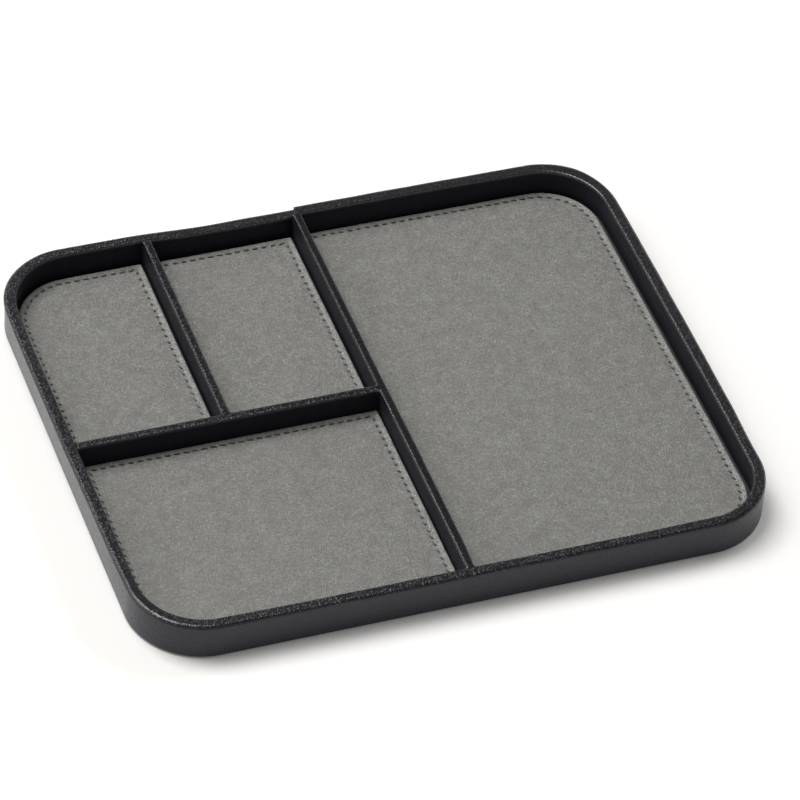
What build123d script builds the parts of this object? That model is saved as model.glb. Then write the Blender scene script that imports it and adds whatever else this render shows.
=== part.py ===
from build123d import *
import os

os.makedirs("parts", exist_ok=True)

# A low organizer tray: boards wrapped in black leather, four bays, a stitched grey panel in each bay.
# Millimetres, +Z up, resting on z = 0, with the origin under the middle of the tray. -Y is the front,
# and the one large bay is on the +X side.

# Overall size, over the leather
width = 244.0
depth = 202.6
height = 15.4
corner_radius = 28.1

# Rim, from the outside in: the cover's overhang, outer band, wall board, pebbled cover
rim_overhang = 0.5
band_thickness = 0.6
wall_thickness = 2.85
cover_thickness = 0.8
turn_in_width = 9.5

# Edge rounds and bevels, as shares of the leather that has them
band_foot_round_share = 0.85
cover_outer_round_share = 0.7
cover_inner_round_share = 0.95
divider_round_share = 0.24
panel_edge_bevel_share = 0.4

# Floor, from the table up
lining_thickness = 0.5
lining_inset = 2.5
base_thickness = 3.0
wall_rebate_depth = 1.2
panel_board_thickness = 0.8
panel_leather_thickness = 0.8

# Dividers: a board with a folded leather cover, placed by its middle plane
divider_board_thickness = 1.6
divider_cover_thickness = 0.7
long_divider_x = -0.4
cross_divider_y = -1.3
short_divider_x = -60.3

# Joinery
corner_stub = 2.0
lap_length = 6.0
tenon_length = 2.0
tenon_rise = 1.6
tenon_cap = 1.7
joint_clearance = 0.05

# Floor panels
panel_gap = 0.9
right_panel_gap = 1.65
panel_square_round = 0.8

# At the back the left length of the rim sags before it meets the long divider; the right one doesn't
sag_drop = 1.4
sag_start_gap = 19.4
sag_flat = 30.1

# One overrun for all cuts
overrun = 5.0

# Levels
base_bottom = lining_thickness
base_top = base_bottom + base_thickness
panel_board_top = base_top + panel_board_thickness
panel_top = panel_board_top + panel_leather_thickness
wall_bottom = base_top - wall_rebate_depth
wall_top = height - cover_thickness
divider_board_top = height - divider_cover_thickness
tenon_bottom = base_top + tenon_rise
tenon_top = wall_top - sag_drop - tenon_cap

# Plan lines, measured from the middle of the tray
wall_inset = rim_overhang + band_thickness
rim_width = wall_inset + wall_thickness + cover_thickness
right_line = width / 2 - rim_width
back_line = depth / 2 - rim_width
corner_x = width / 2 - corner_radius
corner_y = depth / 2 - corner_radius
divider_thickness = divider_board_thickness + 2 * divider_cover_thickness
long_left = long_divider_x - divider_thickness / 2
long_right = long_divider_x + divider_thickness / 2
cross_front = cross_divider_y - divider_thickness / 2
cross_back = cross_divider_y + divider_thickness / 2
short_left = short_divider_x - divider_thickness / 2
short_right = short_divider_x + divider_thickness / 2
sag_start = -corner_x + sag_start_gap
sag_end = long_divider_x - sag_flat


def outline(inset):
    """Plan outline of the tray, set in from the outside by inset."""
    return RectangleRounded(width - 2 * inset, depth - 2 * inset, corner_radius - inset)


def prism(face, bottom, top):
    """A plan face raised from one level to another."""
    return extrude(Pos(0, 0, bottom) * face, top - bottom)


def block(x0, x1, y0, y1, z0, z1):
    """A plain box between two limits on each axis."""
    middle = Pos((x0 + x1) / 2, (y0 + y1) / 2, (z0 + z1) / 2)
    return middle * Box(x1 - x0, y1 - y0, z1 - z0)


def sag_curve(level):
    """The sagging edge in the XZ plane: two tangent arcs down, then level to the long divider."""
    start = (sag_start, level)
    middle = ((sag_start + sag_end) / 2, level - sag_drop / 2)
    end = (sag_end, level - sag_drop)
    first = TangentArc(start, middle, tangent=(1, 0))
    second = TangentArc(middle, end, tangent=first % 1)
    flat = Line(end, (long_divider_x, level - sag_drop))
    return [first, second, flat]


def above_sag(level):
    """All that lies above the sagging edge at the back, left of the long divider."""
    curve = sag_curve(level)
    ceiling = level + overrun
    rest = Polyline(curve[-1] @ 1, (long_divider_x, ceiling), (sag_start, ceiling), curve[0] @ 0)
    face = Plane.XZ * make_face(curve + rest.edges())
    return extrude(face, -depth / 2 - overrun)


def base_board():
    """Floor board, rebated above for the wall boards and below for the band's turn-in."""
    board = prism(outline(wall_inset), base_bottom, base_top)
    board -= prism(wall_ring_face(wall_thickness), wall_bottom, base_top)
    turn_in = outline(rim_overhang) - outline(turn_in_width)
    return board - prism(turn_in, base_bottom, base_bottom + band_thickness)


def wall_ring_face(thickness):
    """Plan of the wall boards, or of their outer part when thickness is less than the whole."""
    return outline(wall_inset) - outline(wall_inset + thickness)


def corner_region(side_x, side_y, reach):
    """The quarter of the tray round one corner, from reach before the corner's tangent points."""
    near_x = side_x * (corner_x - reach)
    near_y = side_y * (corner_y - reach)
    far_x = side_x * (width / 2 + overrun)
    far_y = side_y * (depth / 2 + overrun)
    xs = sorted([near_x, far_x])
    ys = sorted([near_y, far_y])
    return block(*xs, *ys, 0, height)


def wall_boards():
    """Bent corner boards whose halved ends lap over the halved ends of the straight boards."""
    ring = prism(wall_ring_face(wall_thickness), wall_bottom, wall_top)
    outer_half = prism(wall_ring_face(wall_thickness / 2), wall_bottom, wall_top)
    corners = {}
    for name_y, side_y in (("front", -1), ("back", 1)):
        for name_x, side_x in (("left", -1), ("right", 1)):
            whole = ring & corner_region(side_x, side_y, corner_stub)
            lap = outer_half & corner_region(side_x, side_y, corner_stub + lap_length)
            corners["corner_" + name_y + "_" + name_x] = whole + lap
    straight = ring
    for corner in corners.values():
        straight -= corner
    by_x = straight.solids().sort_by(Axis.X)
    by_y = straight.solids().sort_by(Axis.Y)
    back = by_y[-1]
    left_side = block(-width, long_divider_x, 0, depth, 0, height)
    right_side = block(long_divider_x, width, 0, depth, 0, height)
    boards = {
        "wall_left": by_x[0],
        "wall_right": by_x[-1],
        "wall_front": by_y[0],
        "wall_back_left": (back & left_side) - above_sag(wall_top - joint_clearance),
        "wall_back_right": back & right_side,
    }
    return boards | corners


def divider_cover_section():
    """Leather folded over a divider board, seen from its end, with the top at zero."""
    drop = height - base_top
    outer = Pos(0, -drop / 2) * Rectangle(divider_thickness, drop)
    outer = fillet(outer.vertices().group_by(Axis.Y)[-1], divider_round_share * divider_thickness)
    board_drop = divider_board_top - base_top
    inner = Pos(0, board_drop / 2 - drop) * Rectangle(divider_board_thickness, board_drop)
    return outer - inner


def divider(start, end, start_tenon, end_tenon):
    """Board, cover and mortise of a divider that runs along X, before it is placed."""
    half = divider_board_thickness / 2
    board = block(start, end, -half, half, base_top, divider_board_top)
    board += block(start - start_tenon, end + end_tenon, -half, half, tenon_bottom, tenon_top)
    mortise = block(
        start - start_tenon - joint_clearance, end + end_tenon + joint_clearance,
        -half - joint_clearance, half + joint_clearance,
        tenon_bottom - joint_clearance, tenon_top + joint_clearance,
    )
    end_plane = Plane(origin=(start, 0, height), x_dir=(0, 1, 0), z_dir=(1, 0, 0))
    cover = extrude(end_plane * divider_cover_section(), end - start)
    return board, cover, mortise


def rim_cover_section():
    """Pebbled cover seen in the direction of the rim, with its top outer edge at the origin."""
    leg = height - base_top + sag_drop
    shape = Pos(rim_width / 2, -cover_thickness / 2) * Rectangle(rim_width, cover_thickness)
    shape += Pos(rim_width - cover_thickness / 2, -leg / 2) * Rectangle(cover_thickness, leg)
    outer_edge = shape.vertices().group_by(Axis.Y)[-1].sort_by(Axis.X)[0]
    shape = fillet(outer_edge, cover_outer_round_share * cover_thickness)
    inner_edge = shape.vertices().group_by(Axis.Y)[-1].sort_by(Axis.X)[-1]
    return fillet(inner_edge, cover_inner_round_share * cover_thickness)


def rim_path(side):
    """The cover's top outer edge, from the front joint round one end of the tray to the back joint."""
    x = side * width / 2
    y = depth / 2
    turn = side * corner_x
    edges = [
        Line((long_divider_x, -y), (turn, -y)),
        TangentArc((turn, -y), (x, -corner_y), tangent=(side, 0)),
        Line((x, -corner_y), (x, corner_y)),
        TangentArc((x, corner_y), (turn, y), tangent=(0, 1)),
    ]
    if side > 0:
        edges.append(Line((turn, y), (long_divider_x, y)))
    else:
        edges.append(Line((turn, y), (sag_start, y)))
        edges += [Plane.XZ.offset(-y) * edge for edge in sag_curve(0)]
    return Pos(0, 0, height) * Wire([edge for part in edges for edge in part.edges()])


def rim_cover(side):
    """One length of the rim's cover: over band and wall, and down inside the wall to the base."""
    origin = (long_divider_x, -depth / 2, height)
    start = Plane(origin=origin, x_dir=(0, 1, 0), z_dir=(1, 0, 0))
    cover = sweep(start * rim_cover_section(), rim_path(side))
    return cover & block(-width, width, -depth, depth, base_top, height)


def outer_band():
    """One strip round the outside, turned in under the base, whose ends meet at the back."""
    band = prism(outline(rim_overhang), base_bottom, wall_top)
    band = fillet(band.edges().group_by(Axis.Z)[0], band_foot_round_share * band_thickness)
    band -= prism(outline(wall_inset), base_bottom + band_thickness, height)
    band -= prism(outline(turn_in_width), 0, height)
    return band - above_sag(wall_top - joint_clearance)


def panel_face(x0, x1, y0, y1):
    """Outline of a floor panel, round where it follows a corner of the tray."""
    face = Pos((x0 + x1) / 2, (y0 + y1) / 2) * Rectangle(x1 - x0, y1 - y0)
    at_corner = [v for v in face.vertices() if abs(v.X) > corner_x and abs(v.Y) > corner_y]
    others = [v for v in face.vertices() if v not in at_corner]
    face = fillet(others, panel_square_round)
    at_corner = [v for v in face.vertices() if abs(v.X) > corner_x and abs(v.Y) > corner_y]
    radius = corner_radius - rim_width - panel_gap
    return fillet(at_corner, radius) if at_corner else face


# Dividers: tenons enter blind mortises in the rim, and go right through a divider that they meet
into_wall = cover_thickness + tenon_length
into_divider = divider_cover_thickness + divider_board_thickness
quarter_turn = Rot(0, 0, 90)
dividers = {
    "long": (
        Pos(long_divider_x, 0, 0) * quarter_turn,
        divider(-back_line, back_line, into_wall, into_wall),
    ),
    "cross": (
        Pos(0, cross_divider_y, 0),
        divider(-right_line, long_left, into_wall, into_divider),
    ),
    "short": (
        Pos(short_divider_x, 0, 0) * quarter_turn,
        divider(cross_back, back_line, into_divider, into_wall),
    ),
}
mortises = {name: place * pieces[-1] for name, (place, pieces) in dividers.items()}

nodes = {
    "base_lining": prism(outline(lining_inset), 0, lining_thickness),
    "base_board": base_board(),
    "outer_band": outer_band(),
}
for name, board in wall_boards().items():
    for mortise in mortises.values():
        board = board - mortise
    nodes[name] = board
for name, side in (("rim_cover_left", -1), ("rim_cover_right", 1)):
    cover = rim_cover(side)
    for mortise in mortises.values():
        cover = cover - mortise
    nodes[name] = cover
for name, (place, (board, cover, _)) in dividers.items():
    nodes[name + "_divider_board"] = place * board
    nodes[name + "_divider_cover"] = place * cover
for crossed, crossing in (("long", "cross"), ("cross", "short")):
    nodes[crossed + "_divider_board"] -= mortises[crossing]
    nodes[crossed + "_divider_cover"] -= mortises[crossing]

# Floor panels: a backing board and a grey leather of one outline, lying in each bay
panel_left = panel_gap - right_line
panel_front = panel_gap - back_line
panel_back = back_line - panel_gap
behind_cross = cross_back + panel_gap
panels = {
    "left": panel_face(panel_left, short_left - panel_gap, behind_cross, panel_back),
    "middle": panel_face(short_right + panel_gap, long_left - panel_gap, behind_cross, panel_back),
    "front": panel_face(panel_left, long_left - panel_gap, panel_front, cross_front - panel_gap),
    "right": panel_face(long_right + panel_gap, right_line - right_panel_gap, panel_front, panel_back),
}
for name, face in panels.items():
    nodes[name + "_panel_board"] = prism(face, base_top, panel_board_top)
    leather = prism(face, panel_board_top, panel_top)
    top_edges = leather.edges().group_by(Axis.Z)[-1]
    bevel = panel_edge_bevel_share * panel_leather_thickness
    nodes[name + "_panel_leather"] = chamfer(top_edges, bevel)

for name, shape in nodes.items():
    solids = shape.solids()
    piece = solids[0] if len(solids) == 1 else Compound(children=list(solids))
    export_step(piece, os.path.join("parts", name + ".step"))
    print(name, "solids", len(solids), "volume", round(piece.volume, 1))
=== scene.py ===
import itertools
import math
import bpy
import numpy as np
from mathutils import Matrix, Vector, geometry
from numpy.linalg import norm


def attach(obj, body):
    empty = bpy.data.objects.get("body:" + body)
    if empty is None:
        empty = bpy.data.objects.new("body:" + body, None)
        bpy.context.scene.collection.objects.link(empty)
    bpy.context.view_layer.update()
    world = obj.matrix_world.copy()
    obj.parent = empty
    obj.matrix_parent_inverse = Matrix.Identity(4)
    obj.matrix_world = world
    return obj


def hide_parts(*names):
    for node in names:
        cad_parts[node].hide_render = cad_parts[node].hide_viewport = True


# Looks of a low leather organizer tray. Lengths are in millimetres up to the moment a mesh is
# made; MM turns them into metres. The tray's own sizes repeat the ones of the CAD part.

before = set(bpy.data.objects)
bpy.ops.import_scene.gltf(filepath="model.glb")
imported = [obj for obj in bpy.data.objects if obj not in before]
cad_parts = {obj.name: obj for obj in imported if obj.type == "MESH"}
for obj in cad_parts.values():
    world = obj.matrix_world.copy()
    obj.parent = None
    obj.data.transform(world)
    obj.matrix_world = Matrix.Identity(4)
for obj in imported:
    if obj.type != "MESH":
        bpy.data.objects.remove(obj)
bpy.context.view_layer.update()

MM = 0.001

# Tray
WIDTH = 244.0
DEPTH = 202.6
HEIGHT = 15.4
CORNER_RADIUS = 28.1
CORNER_X = WIDTH / 2 - CORNER_RADIUS
CORNER_Y = DEPTH / 2 - CORNER_RADIUS
JOINT_X = -0.4
BASE_TOP = 3.5
BASE_BOTTOM = 0.5
RIM_WIDTH = 4.75
RIM_OVERHANG = 0.5
RIM_STAND = 0.03
RIM_STEP = 0.32
COVER_THICKNESS = 0.8
WALL_TOP = 14.6
ROLL_RADIUS = 1.8
ROLL_START = 1.5
ROLL_TURN = 48.0
BAND_THICKNESS = 0.6
BAND_TOP = 14.62
BAND_STEP = 0.8
TURN_IN = 9.5
# Insets of the band's inner face and of the back of the rim's leg
BAND_BACK = RIM_OVERHANG + BAND_THICKNESS
LEG_BACK = RIM_WIDTH - COVER_THICKNESS
# The band drifts above BAND_FOOT, and sags with the rim above BAND_SAG
BAND_FOOT = 2.0
BAND_SAG = 6.0
BAND_SAG_RISE = 6.0
# Its waves begin above FACE_FOOT, and its top edge is dark: edge paint, with painted shade under
# the rim's roll
FACE_FOOT = 1.2
DARK_DEPTH = 0.45
DARK_RISE = 0.35
# Sections: the rim's lip on the band, its inner edge, its gap to the boards, and the band
LIP_INSET = 0.02
LIP_INNER_DEPTH = 0.05
LIP_OUTER_DEPTH = 0.16
LIP_ROUND = 0.07
RIM_EDGE_DROP = 0.08
RIM_EDGE_ROUND = 0.85
RIM_CLEARANCE = 0.02
BAND_TOP_ROUND = 0.28
BAND_EDGE_ROUND = 0.15
BAND_FOOT_ROUND = 0.55
# Longest steps in them. The rim's is fine down to FINE_DEPTH
FINE_DEPTH = 3.0
FINE_STEP = 0.26
LEG_STEP = 0.7
HIDDEN_STEP = 4.0
BAND_FACE_STEP = 1.0
BAND_HIDDEN_STEP = 2.5
# Tolerance in comparing places
HAIR = 0.01

# How far the soft rim has moved outward from a true outline, at bearings in degrees round the
# tray: 0 is right, 90 back, 180 left, 270 front, 45 and so on the corners
ROLL_DRIFT = (
    (0, 0.35), (25, 0.25), (31, 0.12), (38, -0.2), (45, 0.28), (51, -0.05), (58, 0.05),
    (68, 0.0), (115, 0.0), (135, -0.1), (152, 0.9), (180, 0.8), (195, 0.3), (207, 0.0),
    (218, -0.9), (226, -0.75), (245, -0.35), (295, -0.35), (315, -0.8), (326, -0.6), (338, 0.1),
)
EDGE_DRIFT = (
    (0, 0.0), (25, 0.0), (45, -0.5), (65, 0.2), (100, 0.2), (125, 0.5), (135, -0.3), (152, 0.8),
    (180, 0.5), (207, 0.2), (226, -0.6), (245, 0.0), (295, 0.0), (315, -0.7), (338, 0.0),
)
BAND_DRIFT = (
    (0, 0.05), (45, -0.2), (65, -0.1), (115, -0.1), (135, 0.0), (152, 1.0), (180, 1.0),
    (207, 0.45), (218, -0.35), (226, -0.2), (245, 0.0), (295, 0.0), (315, -0.4), (326, -0.3),
    (338, 0.0),
)

# How deep the grain stands round the rim, by the same bearings, and on each divider
RELIEF = (
    (0, 0.66), (25, 0.6), (42, 0.42), (65, 0.55), (90, 0.56), (135, 0.8), (180, 0.95),
    (210, 0.8), (219, 0.38), (228, 0.75), (270, 0.95), (315, 0.9), (322, 0.7),
)
DIVIDER_RELIEF = {"long": 0.45, "cross": 1.1, "short": 0.8}
# How dull the rim's shine is, by the same bearings, and how much more polished the rim is where
# its relief is no deeper than FLAT_RELIEF
DULL = ((0, 0.0), (150, 0.0), (180, 0.12), (208, 0.15), (219, 0.30), (229, 0.12), (245, 0.0))
FLAT_RELIEF = 0.55
FLAT_POLISH = 0.4

# Sag of the left length of the rim, at the back
SAG_DROP = 1.4
SAG_START = -74.5
SAG_END = -30.5

# Leather grain, and the height of it that lies on a cover's true surface
PEBBLE_SIZE = 0.95
PEBBLE_HEIGHT = 0.085
PEBBLE_SEED = 3
CREASE_WIDTH = 0.42
GRAIN_LEVEL = 0.85
# A cover counts as top, not leg, from this depth below the tray's height over this rise
TOP_DEPTH = 1.6
TOP_RISE = 0.9
# Slow unevenness: size, seed, height
RIM_WAVE = (22.0, 5, 0.05)
DIVIDER_WAVE = (18.0, 6, 0.04)
BAND_WAVE = (34.0, 9, 0.035)

# Dividers
DIVIDER_HALF = 1.5
DIVIDER_STAND = 0.08
DIVIDER_ROUND = 0.58
DIVIDER_CROWN = 0.06
DIVIDER_STEP = 0.3
LONG_X = -0.4
CROSS_Y = -1.3
SHORT_X = -60.3
INNER_X = WIDTH / 2 - RIM_WIDTH
INNER_Y = DEPTH / 2 - RIM_WIDTH
LONG_LEFT = LONG_X - DIVIDER_HALF
CROSS_BACK = CROSS_Y + DIVIDER_HALF
# Dullness along the middle of a divider's top, and polish along its two edges
DIVIDER_DULL = 0.43
DULL_HALF = 0.85
EDGE_POLISH = 0.35
EDGE_SIDE = 1.25
EDGE_HALF = 0.35
# A cover runs on past its ends by END_REACH, with only its top left after TUCK_LENGTH
END_REACH = 1.75
END_DROP = 0.16
TUCK_LENGTH = 0.6
TUCK_DEPTH = 1.3
# It widens over FLARE_LENGTH before an end, most of all at its top
FLARE_LENGTH = 1.5
FLARE_WIDTH = 0.8
FLARE_DEPTH = 2.2
# Where its end goes in under the rim it dives, which takes most of the flare away
END_DIVE = 1.6
DIVE_LENGTH = 0.9
DIVE_FLARE = 0.65
# The long divider's front part leans right, by LONG_BOW at its top. BOW_START is the y where
# that begins, and BOW_END is how far from the front wall it ends
LONG_BOW = 0.25
BOW_START = 20.0
BOW_RISE = 60.0
BOW_END = 12.0
BOW_HEIGHT = 6.0
BOW_SPREAD = 0.3

# Panels
PANEL_BOTTOM = 4.3
PANEL_TOP = 5.1
PANEL_GAP = 0.9
RIGHT_PANEL_GAP = 1.65
BACK_GAP_LEFT = 1.35
BACK_GAP_MIDDLE = 1.55
FRONT_PANEL_BACK_GAP = 0.30
FRONT_PANEL_RIGHT_GAP = 0.45
FRONT_PANEL_LIFT = 0.35
PANEL_SQUARE_ROUND = 0.8
PANEL_CORNER_ROUND = CORNER_RADIUS - RIM_WIDTH - PANEL_GAP
# Radius above which a corner counts as round, and the least radius of an inner ring
ROUND_CORNER = 2
LEAST_ROUND = 0.35
# Points along a ring, and the insets of the rings: closest at the edge and at the stitches
RING_STEP = 0.2
SQUARE_CORNER_POINTS = 6
INSETS = np.concatenate([
    [0.0, 0.06, 0.14, 0.24, 0.36, 0.5, 0.7, 0.95, 1.2, 1.45, 1.65],
    np.arange(1.82, 3.26, 0.15), [3.45, 3.7, 4.0, 4.4, 4.9, 5.5],
])
EDGE_ROWS = 4
FILL_STEP = 1.5
# Sizes and heights of the slow waves in a panel
PANEL_WAVES = ((30.0, 0.05), (9.0, 0.022))

# Stitching
STITCH_PITCH = 3.55
STITCH_INSET = 2.5
PIT_HALF_WIDTH = 0.42
PIT_DEPTH = 0.55
BRIDGE_HEIGHT = 0.07
BRIDGE_LENGTH = 0.55
BRIDGE_WIDTH = 0.8
# Swells near a panel's edge: height, inset, spread
PANEL_LIP = (0.05, 1.1, 0.8)
VALLEY = (-0.06, STITCH_INSET, 0.6)
WIDE_VALLEY = (-0.05, STITCH_INSET, 1.7)
# Edges that face right turn up, from TURN_UP_INSET outward over TURN_UP_REACH
TURN_UP = 0.46
TURN_UP_INSET = 2.6
TURN_UP_REACH = 2.0
# The very edge is rounded
EDGE_DROP = 0.34
EDGE_WIDTH = 0.55
EDGE_POWER = 2.2
# The border's pale flecks end at BORDER_INSET. They are partly a paler burnished border and partly
# a painted highlight, faintest where the border doesn't face right, where its turned-up edge tilts
# toward the lamps
BORDER_INSET = 1.5
BORDER_LEAST = 0.45
# Half length and slant of a stitch on rows along X, and what rows along Y add to them
STITCH_HALF = 1.22
STITCH_HALF_ALONG_Y = -0.60
STITCH_SLANT = -0.20
STITCH_SLANT_ALONG_Y = 0.60
# Thread: it starts THREAD_SINK below the panel's level, arches up and reaches into its holes
THREAD_RADIUS = 0.28
THREAD_SINK = 0.62
THREAD_ARCH = 0.50
THREAD_REACH = 0.12
THREAD_FLATNESS = 2.6
THREAD_CHORD = 0.3
THREAD_POINTS = 10
THREAD_STEPS = 13
PLY_SHARE = 0.13
PLY_TWIST = 1.1

# Camera, at the photograph's viewing angle. Angles in degrees, lengths in metres
CAM_AZIMUTH = -23.705
CAM_ELEVATION = 43.906
CAM_ROLL = 6.018
CAM_DISTANCE = 1.8449
CAM_LOOK_AT = (0.01003, 0.00488, 0.0)
CAM_FOCAL_PX = 4969.0
FRAME_PX = 800
SENSOR = 36.0

# Studio
WORLD_LIGHT = 0.175
# Sines of the elevation between which the white backdrop gives way to the ceiling
BACKDROP_TOP = 0.15
CEILING_START = 0.60
CEILING = 0.13
# Floor's own white for the camera: weaker near the tray, where its shadow lies, as painted shade
# round the tray, and full further out. GLOW_SHIFT moves that ring left, so the right side turns
# white sooner
FLOOR_GLOW = 0.08
FLOOR_WHITE = 0.20
GLOW_START = 0.002
GLOW_END = 0.012
GLOW_SHIFT = 0.014
FLOOR_RADIUS = 4.0
FLOOR_DROP = 0.0001


def make_camera():
    """A camera on a sphere round the look-at point, rolled as the photograph's was."""
    az, el, roll = (math.radians(a) for a in (CAM_AZIMUTH, CAM_ELEVATION, CAM_ROLL))
    back = Vector((math.sin(az) * math.cos(el), -math.cos(az) * math.cos(el), math.sin(el)))
    right = Vector((0, 0, 1)).cross(back).normalized()
    up = back.cross(right)
    axis_x = right * math.cos(roll) + up * math.sin(roll)
    axis_y = up * math.cos(roll) - right * math.sin(roll)
    place = Matrix((axis_x, axis_y, back)).transposed().to_4x4()
    place.translation = Vector(CAM_LOOK_AT) + back * CAM_DISTANCE
    data = bpy.data.cameras.new("camera")
    data.sensor_width = SENSOR
    data.lens = CAM_FOCAL_PX / FRAME_PX * SENSOR
    data.clip_start = 0.05
    data.clip_end = 20.0
    camera = bpy.data.objects.new("camera", data)
    camera.matrix_world = place
    bpy.context.collection.objects.link(camera)
    bpy.context.scene.camera = camera


# Noise

def random_in_cells(cells, seed):
    """Three repeatable numbers from 0 to 1 for each whole-number cell."""
    x, y, z = cells.astype(np.uint64).T
    h = x * np.uint64(73856093) ^ y * np.uint64(19349663) ^ z * np.uint64(83492791)
    h ^= np.uint64(seed * 2654435761 % (1 << 32))
    out = []
    for _ in range(3):
        for shift, factor in ((15, 2246822519), (13, 3266489917)):
            h ^= h >> np.uint64(shift)
            h *= np.uint64(factor)
            h &= np.uint64(0xFFFFFFFF)
        out.append(h.astype(float) / float(1 << 32))
    return np.stack(out, 1)


def cell_distances(points, size, seed):
    """Distances from each point to its nearest and second nearest seed point, in cell sizes."""
    # the added number keeps every cell above zero
    q = points / size + 500.0
    base = np.floor(q).astype(np.int64)
    nearest = second = np.full(len(q), 9.0)
    for offset in itertools.product((-1, 0, 1), repeat=3):
        cell = base + np.array(offset)
        d = norm(cell + random_in_cells(cell, seed) - q, axis=1)
        second = np.minimum(second, np.maximum(nearest, d))
        nearest = np.minimum(nearest, d)
    return nearest, second


def pebbles(points, size, seed):
    """Height from 0 in the creases to 1 on top of each grain."""
    nearest, second = cell_distances(points, size, seed)
    edge = np.clip((second - nearest) / CREASE_WIDTH, 0, 1)
    return np.sqrt(edge * (2 - edge))


def slow_noise(points, size, seed):
    """Smooth noise from about -1 to 1."""
    rng = np.random.default_rng(seed)
    total = np.zeros(len(points))
    for _ in range(7):
        direction = rng.normal(size=3)
        direction /= norm(direction)
        k = 2 * math.pi / (size * rng.uniform(0.7, 1.6))
        total += np.sin(points @ direction * k + rng.uniform(0, 2 * math.pi))
    return total / 2.6


def smoothstep(t):
    """Eased rise from 0 to 1 as t goes from 0 to 1."""
    t = np.clip(t, 0, 1)
    return t * t * (3 - 2 * t)


# Meshes

def make_object(name, verts, faces, material, attributes=None):
    """A smooth-shaded mesh object from vertices in millimetres, riding on the tray."""
    mesh = bpy.data.meshes.new(name)
    mesh.from_pydata([tuple(v) for v in np.asarray(verts) * MM], [], faces)
    mesh.update()
    mesh.polygons.foreach_set("use_smooth", np.ones(len(mesh.polygons), bool))
    for key, values in (attributes or {}).items():
        layer = mesh.attributes.new(key, "FLOAT", "POINT")
        layer.data.foreach_set("value", np.asarray(values, np.float32))
    mesh.materials.append(material)
    obj = bpy.data.objects.new(name, mesh)
    bpy.context.collection.objects.link(obj)
    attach(obj, "root")
    return obj


def grid_faces(rows, columns, wrap):
    """Quads of a grid whose vertex (i, j) is number i * columns + j, closed round where wrap."""
    sides = [(j, (j + 1) % columns) for j in range(columns if wrap else columns - 1)]
    return [(i + j, i + k, i + columns + k, i + columns + j)
            for i in range(0, (rows - 1) * columns, columns) for j, k in sides]


def grid_normals(grid, wrap):
    """Unit normals of a grid of points, rows by columns by 3, closed round where wrap."""
    along = np.gradient(grid, axis=0)
    across = np.roll(grid, -1, 1) - np.roll(grid, 1, 1) if wrap else np.gradient(grid, axis=1)
    n = np.cross(across, along)
    return n / np.maximum(norm(n, axis=2, keepdims=True), 1e-12)


def per_vertex(grid, **values):
    """Attributes for the vertices of a grid, from one value for each, or for each row or column."""
    return {key: np.broadcast_to(v, grid.shape[:2]).ravel() for key, v in values.items()}


def top_share(level):
    """0 down the legs of a cover, 1 on its top."""
    return smoothstep((level - (HEIGHT - TOP_DEPTH)) / TOP_RISE)


def waves(grid, wave):
    """Slow unevenness at the points of a grid, in millimetres."""
    size, seed, height = wave
    return slow_noise(grid.reshape(-1, 3), size, seed).reshape(grid.shape[:2]) * height


def raise_grain(grid, normal, relief, wave, skin=1.0):
    """The grid with its grain and its unevenness raised where skin is 1, and the grain's height
    at each point."""
    grain = pebbles(grid.reshape(-1, 3), PEBBLE_SIZE, PEBBLE_SEED).reshape(grid.shape[:2])
    lift = (grain - GRAIN_LEVEL) * PEBBLE_HEIGHT * relief + waves(grid, wave)
    return grid + normal * (lift * skin)[..., None], grain


# Rim and band

def half_track(side, step):
    """Points and outward normals on the tray's outline, from the front joint to the back one."""
    def arc(cy, start, end):
        n = max(2, round(abs(end - start) * CORNER_RADIUS / step))
        a = np.linspace(start, end, n + 1)
        normal = np.stack([np.cos(a), np.sin(a)], 1)
        return np.array((side * CORNER_X, cy)) + CORNER_RADIUS * normal, normal
    def straight(a, b, normal):
        n = max(1, round(math.dist(a, b) / step))
        t = np.linspace(0, 1, n + 1)[:, None]
        return np.array(a) * (1 - t) + np.array(b) * t, np.tile(normal, (n + 1, 1))
    flip = (lambda a: a) if side > 0 else (lambda a: math.pi - a)
    front, back, outer = -DEPTH / 2, DEPTH / 2, side * WIDTH / 2
    parts = [
        straight((JOINT_X, front), (side * CORNER_X, front), (0.0, -1.0)),
        arc(-CORNER_Y, flip(-math.pi / 2), flip(0.0)),
        straight((outer, -CORNER_Y), (outer, CORNER_Y), (float(side), 0.0)),
        arc(CORNER_Y, flip(0.0), flip(math.pi / 2)),
        straight((side * CORNER_X, back), (JOINT_X, back), (0.0, 1.0)),
    ]
    return [np.concatenate([parts[0][k]] + [q[k][1:] for q in parts[1:]]) for k in (0, 1)]


def sag(points):
    """How far the rim's top lies below its full height: two arcs down, then level."""
    x, y = points.T
    half = (SAG_END - SAG_START) / 2
    radius = (half * half + SAG_DROP * SAG_DROP / 4) / SAG_DROP
    u = np.clip(x - SAG_START, 0, half)
    v = np.clip(SAG_END - x, 0, half)
    first = radius - np.sqrt(radius * radius - u * u)
    last = SAG_DROP - (radius - np.sqrt(radius * radius - v * v))
    drop = np.where(x < (SAG_START + SAG_END) / 2, first, last)
    return np.where(y > CORNER_Y, drop, 0.0)


def round_section(corners, radii, steps):
    """A closed section with rounded corners, as points from one corner to the next."""
    out = []
    corners = np.array(corners, float)
    before, after = (np.roll(corners, n, 0) - corners for n in (1, -1))
    for p, a, b, r, count in zip(corners, before, after, radii, steps):
        if r == 0:
            out.append(p)
            continue
        a, b = a / norm(a), b / norm(b)
        half = math.acos(a @ b) / 2
        centre = p + (a + b) / norm(a + b) * (r / math.sin(half))
        first, last = (math.atan2(*(p + way * (r / math.tan(half)) - centre)[::-1])
                       for way in (a, b))
        turn = (last - first + math.pi) % (2 * math.pi) - math.pi
        for t in first + turn * np.linspace(0, 1, count + 1):
            out.append(centre + r * np.array((math.cos(t), math.sin(t))))
    return np.array(out)


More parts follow.
